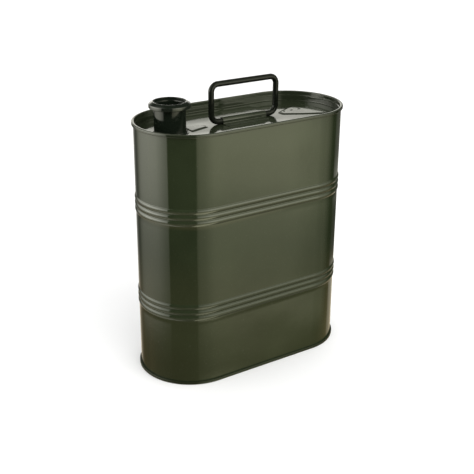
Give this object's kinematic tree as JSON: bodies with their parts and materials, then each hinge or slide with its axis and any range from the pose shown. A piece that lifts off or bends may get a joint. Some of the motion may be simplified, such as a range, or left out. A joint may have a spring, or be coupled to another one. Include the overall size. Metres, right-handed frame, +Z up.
{
  "type": "oil can",
  "caption": "Tall obround sheet-steel oil can with raised beads round the body, a sunk top, an open round neck near one end and a folding wire carrying handle.",
  "frame": {"origin": "on the floor, at the centre of the can's footprint", "axes": "+Z up from the base to the mouth; +X along the can's long side, away from the neck; +Y across the can, towards the welded side seam"},
  "size_m": [0.2286, 0.1086, 0.2928],
  "materials": {
    "body_paint": "glossy dark olive-green paint on steel sheet",
    "deck_paint": "glossy dark olive-green paint on the pressed top",
    "neck_paint": "glossy black-green paint on the neck and its ring",
    "handle_paint": "semi-gloss black-green paint on steel wire",
    "seam_compound": "dull dark sealing compound"
  },
  "bodies": {
    "can": {"body_shell": "body_paint", "side_seam_weld": "body_paint", "top_end": "deck_paint", "bottom_end": "body_paint", "top_seam_compound": "seam_compound", "bottom_seam_compound": "seam_compound", "neck_tube": "neck_paint", "neck_solder_ring": "neck_paint", "mouth_collar": "neck_paint", "pour_insert": "neck_paint", "handle_saddle": "deck_paint", "saddle_spot_welds": "deck_paint"},
    "bail": {"handle_bail": "handle_paint"}
  },
  "joints": [
    {"name": "handle_fold", "type": "hinge", "parent": "can", "child": "bail", "pos_m": [0.0039, 0, 0.25298], "axis": [1, 0, 0], "range_deg": [-88, 88]}
  ]
}
